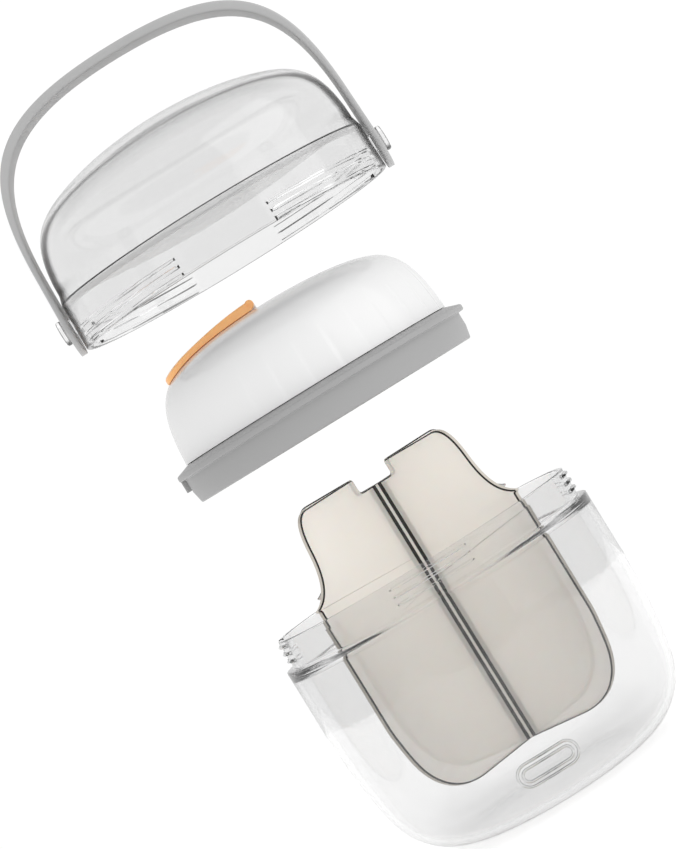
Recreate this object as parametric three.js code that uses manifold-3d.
// Formula dispenser: a clear tub with a four-way divider, a turning pouring cap and a clear screw lid with a carry
// handle, laid out as an exploded column. Millimetres, +Z up, origin at the middle of the tub's underside.
import * as THREE from 'three';
import { mergeVertices } from 'three/addons/utils/BufferGeometryUtils.js';
import Module from 'manifold-3d';

const wasm = await Module();
wasm.setup();

// Tub
const BODY_RADIUS = 65.1;
const BODY_WALL = 2.6;
const SHOULDER_HEIGHT = 90.1;
const FOOT_RADIUS = 30;
const KNEE_HEIGHT = 21;
const KNEE_INSET = 4.3;
const FULL_WIDTH_HEIGHT = 61.5;
const NECK_HEIGHT = 11.6;
const NECK_INSET = 3.2;
const NECK_WALL = 2.0;
const BADGE_LENGTH = 24;
const BADGE_HEIGHT = 9;
const BADGE_CENTRE = 18;
const BADGE_RAISE = 0.5;
const BADGE_LINE = 1.6;

// Interrupted screw thread shared by the neck and the lid
const THREAD_PITCH = 3.0;
const THREAD_LEAD = 1.6;
const THREAD_RIBS = 3;
const THREAD_SEGMENTS = 4;
const RIB_DEPTH = 1.1;
const RIB_ROOT = 0.6;
const RIB_TIP = 0.4;
const RIB_SINK = 0.5;
const NECK_SEGMENT_ANGLE = 30;
const LID_SEGMENT_ANGLE = 56;
const THREAD_GAP = 0.4;

// Divider
const DIVIDER_THICKNESS = 2.4;
const DIVIDER_WALL_GAP = 1.6;
const DIVIDER_NECK_GAP = 0.5;
const DIVIDER_RISE = 19.2;
const DIVIDER_TOP_INSET = 20.9;
const DIVIDER_WAIST_INSET = 12.0;
const LEDGE_GAP = 3.8;
const NOTCH_HALF_WIDTH = 10.5;
const NOTCH_DEPTH = 6.1;
const SPINE_RADIUS = 2.6;

// Cap ring, the fixed half of the pouring cap
const PLUG_DEPTH = 10.1;
const PLUG_GAP = 0.4;
const PLUG_WALL = 2.2;
const PLUG_TAPER = 1.0;
const FLANGE_EDGE = 2.2;
const FLANGE_HEIGHT = 4.4;
const LIP_THICKNESS = 2.5;
const LIP_BORE_INSET = 9.9;
const KEY_WIDTH = 5;
const KEY_HEIGHT = 4.3;

// Turning dome with its spout and flap
const DOME_INSET = 5.5;
const DOME_HEIGHT = 36.1;
const DOME_WALL = 2.0;
const SKIRT_WALL = 1.5;
const RETAINER_REACH = 2.3;
const RETAINER_HEIGHT = 1.6;
const LINER_GAP = 0.7;
const LINER_WALL = 1.5;
const HUB_GAP = 1.2;
const POST_RADIUS = 3;
const SPOUT_CENTRE = -30;
const SPOUT_LENGTH = 20;
const SPOUT_WIDTH = 22;
const SPOUT_CORNER = 6;
const CHUTE_WALL = 1.4;
const FLAP_LENGTH = 41.2;
const FLAP_WIDTH = 30;
const FLAP_CORNER = 8;
const FLAP_THICKNESS = 2.2;
const FLAP_GAP = 0.4;
const HINGE_CENTRE = -5.2;
const KNUCKLE_RADIUS = 1.7;
const KNUCKLE_HALF_LENGTH = 8.6;
const PIN_RADIUS = 0.7;
const SEAL_SIDE_GAP = 0.8;
const SEAL_THICKNESS = 2.0;

// Lid and handle
const LID_SKIRT_WALL = 1.8;
const LID_WALL = 2.2;
const LID_LEDGE_HEIGHT = 18.3;
const LID_HEADROOM = 2.6;
const RIM_GAP = 0.4;
const LID_SEAL_WIDTH = 3.2;
const LID_SEAL_THICKNESS = 2.6;
const PIVOT_HEIGHT = 10;
const BUTTON_RADIUS = 5;
const BUTTON_HEAD = 2.1;
const BUTTON_SHAFT = 3.5;
const HANDLE_GAP = 0.7;
const HANDLE_LEG = 2.4;
const HANDLE_GRIP = 3.7;
const HANDLE_WIDTH = 17;
const HANDLE_EYE_RADIUS = 10.8;
const FINGER_ROOM = 27.4;

// Clearance between pieces that seat on each other and round the seal that the lid turns on, and facets round a turn
const SEAT = 0.3;
const TURN_GAP = 0.5;
const FACETS = 32;

// Exploded layout: how far each piece is lifted above its closed place
const DIVIDER_LIFT = 17.8;
const CAP_LIFT = 68.9;
const LID_LIFT = 140.5;

// Derived places, all in the closed assembly
const neckTop = SHOULDER_HEIGHT + NECK_HEIGHT;
const neckRadius = BODY_RADIUS - NECK_INSET;
const neckBore = neckRadius - NECK_WALL;
const plugRadius = neckBore - PLUG_GAP;
const plugBottom = neckTop - PLUG_DEPTH;
const flangeUnder = neckTop + SEAT;
const flangeTop = flangeUnder + FLANGE_HEIGHT - SEAT;
const lipUnder = flangeTop - LIP_THICKNESS;
const lipBore = neckRadius - LIP_BORE_INSET;
const dividerRadius = neckBore - DIVIDER_NECK_GAP;
const dividerTop = neckTop + DIVIDER_RISE;
const dividerLedge = plugBottom - LEDGE_GAP;
const domeFoot = flangeTop + SEAT;
const domeRadius = neckRadius - DOME_INSET;
const domeTop = domeFoot + DOME_HEIGHT;
const skirtRadius = lipBore - 2 * SEAT;
const skirtBore = skirtRadius - SKIRT_WALL;
const retainerTop = lipUnder - SEAT;
const hingeHeight = domeTop + FLAP_GAP + KNUCKLE_RADIUS;
const lidBore = neckRadius + RIB_DEPTH + THREAD_GAP;
const lidRadius = lidBore + LID_SKIRT_WALL;
const lidRim = SHOULDER_HEIGHT + RIM_GAP;
const lidLedge = lidRim + LID_LEDGE_HEIGHT;
const lidTop = hingeHeight + KNUCKLE_RADIUS + LID_HEADROOM + LID_WALL;
const pivotHeight = lidRim + PIVOT_HEIGHT;
const legInner = lidRadius + HANDLE_GAP;
const legOuter = legInner + HANDLE_LEG;
const gripUnder = lidTop + FINGER_ROOM;
const gripTop = gripUnder + HANDLE_GRIP;

/** Points along a smooth bend between two places, each with a pull that sets the direction there. */
function bend(from, fromPull, toPull, to, steps) {
  const curve = new THREE.CubicBezierCurve(
    new THREE.Vector2(...from),
    new THREE.Vector2(from[0] + fromPull[0], from[1] + fromPull[1]),
    new THREE.Vector2(to[0] + toPull[0], to[1] + toPull[1]),
    new THREE.Vector2(...to),
  );
  return curve.getPoints(steps).map((point) => [point.x, point.y]);
}

/** The outline moved along its own normals, outwards for a positive distance. */
function offset(outline, distance) {
  return outline.map(([radius, height], index) => {
    const before = outline[Math.max(index - 1, 0)];
    const after = outline[Math.min(index + 1, outline.length - 1)];
    const normal = new THREE.Vector2(after[1] - before[1], before[0] - after[0]).normalize();
    const moved = radius === 0 ? 0 : radius + normal.x * distance;
    const lift = radius === 0 ? -Math.sign(after[0] - before[0]) : normal.y;
    return [moved, height + lift * distance];
  });
}

/** A manifold solid from a closed three.js geometry. */
function toSolid(geometry) {
  const bare = geometry.clone();
  bare.deleteAttribute('normal');
  bare.deleteAttribute('uv');
  const merged = mergeVertices(bare, 1e-4);
  const corners = merged.index.array;
  const kept = [];
  for (let i = 0; i < corners.length; i += 3) {
    const triangle = [corners[i], corners[i + 1], corners[i + 2]];
    if (new Set(triangle).size === 3) {
      kept.push(...triangle);
    }
  }
  return new wasm.Manifold(new wasm.Mesh({
    numProp: 3,
    vertProperties: new Float32Array(merged.attributes.position.array),
    triVerts: new Uint32Array(kept),
  }));
}

/** A solid of revolution about Z from [radius, height] points that run up the outside. */
function revolve(points, facets = FACETS) {
  const profile = points.map(([radius, height]) => new THREE.Vector2(radius, height));
  return toSolid(new THREE.LatheGeometry(profile, facets).rotateX(Math.PI / 2));
}

/** A ring of revolution whose section closes on itself. */
function ring(points) {
  return revolve([...points, points[0]]);
}

/** The filled solid under an outline that rises from its foot to the axis. */
function filled(outline) {
  return revolve([[0, outline[0][1]], ...outline]);
}

/** A flat shape in X and Y raised from one height to another. */
function raised(shape, bottom, top) {
  const geometry = new THREE.ExtrudeGeometry(shape, { depth: top - bottom, bevelEnabled: false, curveSegments: 4 });
  return toSolid(geometry.translate(0, 0, bottom));
}

/** A flat shape in X and Z given a thickness along Y, centred on the XZ plane. */
function slab(shape, thickness) {
  const geometry = new THREE.ExtrudeGeometry(shape, { depth: thickness, bevelEnabled: false, curveSegments: 6 });
  return toSolid(geometry.rotateX(Math.PI / 2).translate(0, thickness / 2, 0));
}

/** A box between two corners. */
function block(low, high) {
  const size = high.map((value, axis) => value - low[axis]);
  const centre = high.map((value, axis) => (value + low[axis]) / 2);
  return toSolid(new THREE.BoxGeometry(...size).translate(...centre));
}

/** A rod along Y through the flap's hinge line. */
function hingeRod(radius, low, high) {
  const rod = new THREE.CylinderGeometry(radius, radius, high - low, 16);
  return toSolid(rod.translate(0, (low + high) / 2, 0)).translate([HINGE_CENTRE, 0, hingeHeight]);
}

/** A closed polygon shape. */
function polygon(points) {
  return new THREE.Shape(points.map(([x, y]) => new THREE.Vector2(x, y)));
}

/** A rectangle with round corners, centred on a point. */
function roundedRectangle(centreX, centreY, length, width, corner) {
  const shape = new THREE.Shape();
  const [right, top] = [centreX + length / 2, centreY + width / 2];
  const [left, bottom] = [centreX - length / 2, centreY - width / 2];
  shape.absarc(right - corner, top - corner, corner, 0, Math.PI / 2);
  shape.absarc(left + corner, top - corner, corner, Math.PI / 2, Math.PI);
  shape.absarc(left + corner, bottom + corner, corner, Math.PI, 1.5 * Math.PI);
  shape.absarc(right - corner, bottom + corner, corner, 1.5 * Math.PI, 2 * Math.PI);
  return shape;
}

/** One thread rib: a straight bar of the section, wound round the axis with the thread's lead. */
function threadRib(rootRadius, tipRadius, height, centreAngle, spanAngle) {
  const section = polygon([
    [rootRadius, -RIB_ROOT],
    [tipRadius, -RIB_TIP],
    [tipRadius, RIB_TIP],
    [rootRadius, RIB_ROOT],
  ]);
  const steps = Math.ceil(spanAngle / 8);
  const bar = new THREE.ExtrudeGeometry(section, { depth: 1, steps, bevelEnabled: false });
  const places = bar.attributes.position;
  for (let i = 0; i < places.count; i += 1) {
    const turn = spanAngle * (0.5 - places.getZ(i));
    const angle = THREE.MathUtils.degToRad(centreAngle + turn);
    const [radius, level] = [places.getX(i), places.getY(i)];
    const climb = THREAD_LEAD * turn / 360;
    places.setXYZ(i, radius * Math.cos(angle), radius * Math.sin(angle), height + level + climb);
  }
  return toSolid(bar);
}

/** Every rib of an interrupted thread joined to the solid that carries it. */
function withThread(carrier, rootRadius, tipRadius, lowestRib, firstAngle, spanAngle) {
  let joined = carrier;
  for (let segment = 0; segment < THREAD_SEGMENTS; segment += 1) {
    for (let rib = 0; rib < THREAD_RIBS; rib += 1) {
      const height = lowestRib + rib * THREAD_PITCH;
      const angle = firstAngle + segment * 360 / THREAD_SEGMENTS;
      const wound = threadRib(rootRadius, tipRadius, height, angle, spanAngle);
      joined = joined.add(wound);
    }
  }
  return joined;
}

/** The tub's outside from the middle of its underside up to where it reaches full width. */
function bodyOutline() {
  const knee = [BODY_RADIUS - KNEE_INSET, KNEE_HEIGHT];
  return [
    [0, 0],
    ...bend([FOOT_RADIUS, 0], [16, 0], [-3.8, -13], knee, 7),
    ...bend(knee, [1.9, 6.5], [0, -16.5], [BODY_RADIUS, FULL_WIDTH_HEIGHT], 4).slice(1),
  ];
}

/** The divider's upper edge, from its ledge at the neck in and up to its flat top. */
function dividerUpperOutline() {
  const ledge = [dividerRadius, dividerLedge];
  const waist = [dividerRadius - DIVIDER_WAIST_INSET, dividerTop - 14.1];
  const crown = [dividerRadius - DIVIDER_TOP_INSET, dividerTop];
  return [
    ...bend(ledge, [-9, 2.7], [0.8, -7.3], waist, 5),
    ...bend(waist, [-0.8, 7.7], [6, 0], crown, 5).slice(1),
  ];
}

/** The dome's outside from its foot to its top. */
function domeOutline() {
  const turn = [domeRadius - 8.7, domeTop - 8.4];
  return [
    ...bend([domeRadius, domeFoot], [-0.6, 12.5], [6.3, -5.6], turn, 5),
    ...bend(turn, [-6.2, 5.5], [24, 0], [0, domeTop], 6).slice(1),
  ];
}

/** The lid's outside above its skirt, from the end of the skirt to its top. */
function lidOutline() {
  const start = [lidRadius - 1.5, lidLedge + 8.7];
  const turn = [lidRadius - 17.5, lidTop - 8.2];
  return [
    ...bend(start, [-1.2, 13], [11.8, -5], turn, 6),
    ...bend(turn, [-14, 5.9], [16, 0], [0, lidTop], 5).slice(1),
  ];
}

/** Clear tub: rounded bowl, shoulder, threaded neck with the cap's keyway, and a plain raised oval at the front. */
function outerBody() {
  const outside = bodyOutline();
  const inside = offset(outside, -BODY_WALL).reverse();
  const slope = BODY_RADIUS - BODY_WALL - neckBore;
  const shell = revolve([
    ...outside,
    [BODY_RADIUS, SHOULDER_HEIGHT - 0.5],
    [BODY_RADIUS - 0.5, SHOULDER_HEIGHT],
    [neckRadius, SHOULDER_HEIGHT],
    [neckRadius, neckTop - 0.5],
    [neckRadius - 0.5, neckTop],
    [neckBore + 0.4, neckTop],
    [neckBore, neckTop - 0.4],
    [neckBore, SHOULDER_HEIGHT - 0.6],
    [BODY_RADIUS - BODY_WALL, SHOULDER_HEIGHT - 0.6 - slope],
    ...inside,
  ]);
  const threaded = withThread(
    shell, neckRadius - RIB_SINK, neckRadius + RIB_DEPTH, SHOULDER_HEIGHT + 3.3, -90, NECK_SEGMENT_ANGLE,
  );
  const keyway = block(
    [-BODY_RADIUS, -KEY_WIDTH / 2 - SEAT, neckTop - KEY_HEIGHT - SEAT],
    [-neckBore + 2, KEY_WIDTH / 2 + SEAT, neckTop + 1],
  );
  const badge = roundedRectangle(0, BADGE_CENTRE, BADGE_LENGTH, BADGE_HEIGHT, BADGE_HEIGHT / 2 - 0.01);
  const inner = roundedRectangle(
    0, BADGE_CENTRE, BADGE_LENGTH - 2 * BADGE_LINE, BADGE_HEIGHT - 2 * BADGE_LINE,
    BADGE_HEIGHT / 2 - BADGE_LINE - 0.01,
  );
  badge.holes.push(inner);
  const oval = slab(badge, BODY_RADIUS).translate([0, -BODY_RADIUS / 2, 0])
    .intersect(filled([...offset(outside, BADGE_RAISE).slice(1), [0, FULL_WIDTH_HEIGHT]]))
    .subtract(filled([...offset(outside, -BODY_WALL / 2).slice(1), [0, FULL_WIDTH_HEIGHT]]));
  return threaded.subtract(keyway).add(oval);
}

/** Four-way divider: two crossed panels on a round spine, shaped to the tub below and to the cap above. */
function divider() {
  const bowl = offset(bodyOutline(), -BODY_WALL - DIVIDER_WALL_GAP)
    .map(([radius, height]) => [Math.min(radius, dividerRadius), height]);
  const side = [
    ...bowl,
    [dividerRadius, dividerLedge - 19],
    [dividerRadius - 0.5, dividerLedge - 19.4],
    [dividerRadius - 0.5, dividerLedge - 7],
    [dividerRadius - 1, dividerLedge - 7.4],
    [dividerRadius - 1, dividerLedge - 1],
    [dividerRadius, dividerLedge - 0.6],
    ...dividerUpperOutline(),
    [NOTCH_HALF_WIDTH + 1, dividerTop],
    [NOTCH_HALF_WIDTH, dividerTop - 1],
    [NOTCH_HALF_WIDTH, dividerTop - NOTCH_DEPTH + 1.5],
    [NOTCH_HALF_WIDTH - 1.5, dividerTop - NOTCH_DEPTH],
  ];
  const mirrored = side.slice(1).map(([radius, height]) => [-radius, height]).reverse();
  const panel = slab(polygon([...side, ...mirrored]), DIVIDER_THICKNESS);
  const spine = revolve([
    [0, side[0][1]],
    [SPINE_RADIUS, side[0][1]],
    [SPINE_RADIUS, dividerTop - NOTCH_DEPTH],
    [0, dividerTop - NOTCH_DEPTH],
  ], 12);
  return panel.rotate([0, 0, 45]).add(panel.rotate([0, 0, -45])).add(spine);
}

/** Cap ring: plug and flange with an inner lip that carries the dome, and a key that stops it turning in the neck. */
function capBaseRing() {
  const plugBore = plugRadius - PLUG_WALL;
  const body = ring([
    [plugRadius - PLUG_TAPER - PLUG_WALL + 0.4, plugBottom],
    [plugRadius - PLUG_TAPER, plugBottom],
    [plugRadius, plugBottom + 5],
    [plugRadius, flangeUnder],
    [neckRadius - 0.4, flangeUnder],
    [neckRadius, flangeUnder + 0.4],
    [neckRadius, flangeUnder + FLANGE_EDGE - 0.5],
    [neckRadius - 0.5, flangeUnder + FLANGE_EDGE],
    [domeRadius, flangeTop],
    [lipBore, flangeTop],
    [lipBore, lipUnder],
    [plugBore - 0.6, lipUnder],
  ]);
  const key = block(
    [-neckRadius + 0.2, -KEY_WIDTH / 2, neckTop - KEY_HEIGHT],
    [-plugRadius + 0.8, KEY_WIDTH / 2, flangeUnder + 0.5],
  );
  return body.add(key);
}

/** Snap ring round the dome's skirt, under the lip of the cap ring. */
function capRetainingRing() {
  const inner = skirtRadius + SEAT;
  return ring([
    [inner, retainerTop - RETAINER_HEIGHT],
    [inner + RETAINER_REACH - 0.4, retainerTop - RETAINER_HEIGHT],
    [inner + RETAINER_REACH, retainerTop - RETAINER_HEIGHT + 0.5],
    [inner + RETAINER_REACH, retainerTop],
    [inner, retainerTop],
  ]);
}

/** Outline of the pouring hole, grown or shrunk by a margin. */
function spoutShape(margin) {
  return roundedRectangle(
    SPOUT_CENTRE, 0, SPOUT_LENGTH + 2 * margin, SPOUT_WIDTH + 2 * margin, SPOUT_CORNER + margin,
  );
}

/** White dome with its pouring hole, hinge knuckle, centre post and the skirt that hangs through the cap ring. */
function capDome() {
  const outside = domeOutline();
  const inside = offset(outside, -DOME_WALL).reverse();
  const skirtEnd = retainerTop - RETAINER_HEIGHT - SEAT;
  const footFlange = domeFoot + SKIRT_WALL;
  const shell = revolve([
    ...outside,
    ...inside.slice(0, -1),
    [domeRadius - DOME_WALL, footFlange],
    [skirtBore, footFlange],
    [skirtBore, skirtEnd - 0.9],
    [skirtRadius, skirtEnd - 0.9],
    [skirtRadius + 0.8, skirtEnd - 0.4],
    [skirtRadius + 0.8, skirtEnd],
    [skirtRadius, skirtEnd],
    [skirtRadius, domeFoot],
    [domeRadius, domeFoot],
  ]);
  const post = revolve([
    [0, dividerTop - NOTCH_DEPTH + HUB_GAP + LINER_WALL + 2 * SEAT],
    [POST_RADIUS, dividerTop - NOTCH_DEPTH + HUB_GAP + LINER_WALL + 2 * SEAT],
    [POST_RADIUS, domeTop - DOME_WALL / 2],
    [0, domeTop - DOME_WALL / 2],
  ], 12);
  const knuckle = hingeRod(KNUCKLE_RADIUS, -KNUCKLE_HALF_LENGTH, KNUCKLE_HALF_LENGTH).add(block(
    [HINGE_CENTRE - KNUCKLE_RADIUS, -KNUCKLE_HALF_LENGTH, domeTop - DOME_WALL / 2],
    [HINGE_CENTRE + KNUCKLE_RADIUS, KNUCKLE_HALF_LENGTH, hingeHeight],
  ));
  return shell
    .add(post)
    .add(knuckle)
    .subtract(hingeRod(PIN_RADIUS + SEAT, -FLAP_WIDTH, FLAP_WIDTH))
    .subtract(raised(spoutShape(0), domeFoot + 8, domeTop + 5));
}

/** The inner liner's upper side, from its foot to the rim of its hub. */
function linerOutline(distance) {
  return offset(dividerUpperOutline().slice(5), distance);
}

/** Inner liner: a skin that covers the divider's top, with a hub in its notch and a window over one compartment. */
function selectorLiner() {
  const under = linerOutline(LINER_GAP);
  const over = linerOutline(LINER_GAP + LINER_WALL);
  const foot = domeFoot + SKIRT_WALL + SEAT;
  const hubRadius = NOTCH_HALF_WIDTH - HUB_GAP;
  const hubUnder = dividerTop - NOTCH_DEPTH + HUB_GAP;
  const footRadius = skirtBore - SEAT;
  const shell = revolve([
    [0, hubUnder],
    [hubRadius, hubUnder],
    [hubRadius, dividerTop + LINER_GAP],
    ...under.slice(1).reverse(),
    [under[0][0], foot - LINER_WALL],
    [footRadius, foot - LINER_WALL],
    [footRadius, foot],
    [domeRadius - DOME_WALL - 2 * SEAT, foot],
    [domeRadius - DOME_WALL - 2 * SEAT, foot + LINER_WALL],
    [over[0][0], foot + LINER_WALL],
    ...over.slice(1),
    [hubRadius - LINER_WALL, dividerTop + LINER_GAP + LINER_WALL],
    [hubRadius - LINER_WALL, hubUnder + LINER_WALL],
    [0, hubUnder + LINER_WALL],
  ]);
  return shell.subtract(raised(spoutShape(0), dividerTop - 10, dividerTop + 10));
}

/** Chute that joins the liner's window to the pouring hole. */
function spoutChute() {
  const outer = spoutShape(CHUTE_WALL);
  outer.holes.push(spoutShape(0));
  const ceiling = filled(offset(domeOutline(), -DOME_WALL - SEAT));
  const over = linerOutline(LINER_GAP + LINER_WALL + SEAT);
  const floor = filled([[over[0][0], domeFoot], ...over, [0, over.at(-1)[1]]]);
  return raised(outer, dividerTop - 10, domeTop + 5).intersect(ceiling).subtract(floor);
}

/** Flap: a curved plate over the pouring hole with two hinge knuckles at the dome's middle. */
function spoutFlap() {
  const end = HINGE_CENTRE - FLAP_LENGTH;
  const half = FLAP_WIDTH / 2;
  const plan = new THREE.Shape();
  plan.moveTo(HINGE_CENTRE, half);
  plan.lineTo(end + FLAP_CORNER, half);
  plan.absarc(end + FLAP_CORNER, half - FLAP_CORNER, FLAP_CORNER, Math.PI / 2, Math.PI);
  plan.absarc(end + FLAP_CORNER, FLAP_CORNER - half, FLAP_CORNER, Math.PI, 1.5 * Math.PI);
  plan.lineTo(HINGE_CENTRE, -half);
  const notchEdge = KNUCKLE_HALF_LENGTH + SEAT;
  const notch = block(
    [HINGE_CENTRE - KNUCKLE_RADIUS - 2 * SEAT, -notchEdge, domeFoot],
    [0, notchEdge, domeTop + 10],
  );
  const plate = raised(plan, domeFoot, domeTop + 10)
    .intersect(filled(offset(domeOutline(), FLAP_GAP + FLAP_THICKNESS)))
    .subtract(filled(offset(domeOutline(), FLAP_GAP)))
    .subtract(notch);
  return plate
    .add(hingeRod(KNUCKLE_RADIUS, notchEdge, half))
    .add(hingeRod(KNUCKLE_RADIUS, -half, -notchEdge))
    .subtract(hingeRod(PIN_RADIUS + SEAT, -FLAP_WIDTH, FLAP_WIDTH));
}

/** Soft pad under the flap that fills the pouring hole. */
function flapSeal() {
  return raised(spoutShape(-SEAL_SIDE_GAP), domeFoot, domeTop + 10)
    .intersect(filled(offset(domeOutline(), FLAP_GAP - SEAT)))
    .subtract(filled(offset(domeOutline(), FLAP_GAP - SEAT - SEAL_THICKNESS)));
}

/** Soft ring under the lid's ledge that presses on the cap ring's flange. */
function lidSeal() {
  const outer = lidBore - TURN_GAP;
  const top = lidLedge - SEAT;
  return ring([
    [outer - LID_SEAL_WIDTH, top - LID_SEAL_THICKNESS + 0.6],
    [outer - LID_SEAL_WIDTH + 1.2, top - LID_SEAL_THICKNESS],
    [outer, top - LID_SEAL_THICKNESS],
    [outer, top],
    [outer - LID_SEAL_WIDTH, top],
  ]);
}

/** Clear lid: threaded skirt, ledge and dome, bored on both sides for the handle's pivot buttons. */
function lidDome() {
  const outside = lidOutline();
  const inside = offset(outside, -LID_WALL).reverse();
  const shell = revolve([
    [lidBore + 0.4, lidRim],
    [lidRadius - 0.4, lidRim],
    [lidRadius, lidRim + 0.4],
    [lidRadius - 0.2, lidLedge],
    [lidRadius - 1.3, lidLedge + 3.7],
    ...outside,
    ...inside,
    [lidBore - 1.9, lidLedge],
    [lidBore, lidLedge],
    [lidBore, lidRim + 0.4],
    [lidBore + 0.4, lidRim],
  ]);
  const lowestRib = SHOULDER_HEIGHT + 3.3 - THREAD_PITCH / 2;
  const threaded = withThread(
    shell, lidBore + RIB_SINK, lidBore - RIB_DEPTH, lowestRib, -45, LID_SEGMENT_ANGLE,
  );
  const bore = toSolid(new THREE.CylinderGeometry(
    BUTTON_SHAFT + SEAT, BUTTON_SHAFT + SEAT, 3 * lidRadius, 16,
  ).rotateZ(Math.PI / 2).translate(0, 0, pivotHeight));
  return threaded.subtract(bore);
}

/** Round-headed pivot button that holds one end of the handle; side is 1 or -1. */
function pivotButton(side) {
  const head = legOuter + SEAT;
  const button = revolve([
    [0, lidBore + SEAT],
    [BUTTON_SHAFT, lidBore + SEAT],
    [BUTTON_SHAFT, head],
    [BUTTON_RADIUS, head],
    [BUTTON_RADIUS, head + BUTTON_HEAD - 0.9],
    [BUTTON_RADIUS - 0.9, head + BUTTON_HEAD],
    [0, head + BUTTON_HEAD],
  ], 16);
  return button.rotate([0, side * 90, 0]).translate([0, 0, pivotHeight]);
}

/** Carry handle: an arched strap with a round eye at each end. */
function handle() {
  const bendStart = pivotHeight + 21;
  const outer = bend(
    [legOuter - 0.7, bendStart], [-1.1, 44], [legOuter - 14.3, 0], [0, gripTop], 9,
  );
  const inner = bend(
    [legInner - 0.6, bendStart], [-1.5, 41], [legInner - 14.9, 0], [0, gripUnder], 9,
  );
  const foot = pivotHeight - HANDLE_EYE_RADIUS - 1;
  const right = [[legInner, foot], [legOuter, foot], ...outer];
  const left = outer.slice(0, -1).reverse().map(([x, z]) => [-x, z]);
  const arch = polygon([
    ...right,
    ...left,
    [-legOuter, foot],
    [-legInner, foot],
    [-legInner, pivotHeight + 5],
    ...inner.map(([x, z]) => [-x, z]),
    ...inner.slice(0, -1).reverse(),
    [legInner, pivotHeight + 5],
  ]);
  const half = HANDLE_WIDTH / 2;
  const side = new THREE.Shape();
  side.moveTo(-half, gripTop + 5);
  side.lineTo(-half, pivotHeight + 45);
  side.absarc(0, pivotHeight, HANDLE_EYE_RADIUS, Math.PI, 2 * Math.PI);
  side.lineTo(half, pivotHeight + 45);
  side.lineTo(half, gripTop + 5);
  const strap = slab(arch, 3 * HANDLE_WIDTH).intersect(
    slab(side, 3 * BODY_RADIUS).rotate([0, 0, 90]),
  );
  const eyes = toSolid(new THREE.CylinderGeometry(
    BUTTON_SHAFT + 0.5, BUTTON_SHAFT + 0.5, 3 * lidRadius, 16,
  ).rotateZ(Math.PI / 2).translate(0, 0, pivotHeight));
  return strap.subtract(eyes);
}

/** A named mesh of a solid in a material. */
function piece(name, solid, material) {
  const data = solid.getMesh();
  const geometry = new THREE.BufferGeometry();
  geometry.setAttribute('position', new THREE.BufferAttribute(new Float32Array(data.vertProperties), 3));
  geometry.setIndex(new THREE.BufferAttribute(new Uint32Array(data.triVerts), 1));
  geometry.computeVertexNormals();
  const mesh = new THREE.Mesh(geometry, material);
  mesh.name = name;
  return mesh;
}

/** A plastic with its colour, roughness and opacity. */
function plastic(color, roughness, opacity = 1) {
  return new THREE.MeshStandardMaterial({ color, roughness, metalness: 0, opacity, transparent: opacity < 1 });
}

/** A group of pieces lifted above their closed place. */
function lifted(height, ...pieces) {
  const group = new THREE.Group();
  group.position.z = height;
  group.add(...pieces);
  return group;
}

const dispenser = new THREE.Group();
dispenser.add(
  piece('outer_body', outerBody(), plastic(0xeaeaea, 0.06, 0.3)),
  lifted(DIVIDER_LIFT, piece('divider', divider(), plastic(0xe5e1da, 0.35))),
  lifted(
    CAP_LIFT,
    piece('cap_base_ring', capBaseRing(), plastic(0xacacac, 0.45)),
    piece('cap_retaining_ring', capRetainingRing(), plastic(0xa4a4a4, 0.5)),
    piece('cap_dome', capDome(), plastic(0xf2f2f2, 0.18)),
    piece('selector_liner', selectorLiner(), plastic(0xededed, 0.3)),
    piece('spout_chute', spoutChute(), plastic(0xf0f0f0, 0.3)),
    piece('flap_hinge_pin', hingeRod(PIN_RADIUS, 0.5 - FLAP_WIDTH / 2, FLAP_WIDTH / 2 - 0.5), plastic(0xe9e9e9, 0.3)),
    piece('spout_flap', spoutFlap(), plastic(0xe88f4c, 0.3)),
    piece('flap_seal', flapSeal(), plastic(0xf3d9c2, 0.6)),
  ),
  lifted(
    LID_LIFT,
    piece('lid_seal', lidSeal(), plastic(0xf4f4f4, 0.4, 0.6)),
    piece('lid_dome', lidDome(), plastic(0xeaeaea, 0.06, 0.3)),
    piece('pivot_button_left', pivotButton(-1), plastic(0xeaeaea, 0.08, 0.4)),
    piece('pivot_button_right', pivotButton(1), plastic(0xeaeaea, 0.08, 0.4)),
    piece('handle', handle(), plastic(0xb2b2b2, 0.4)),
  ),
);

export default dispenser;
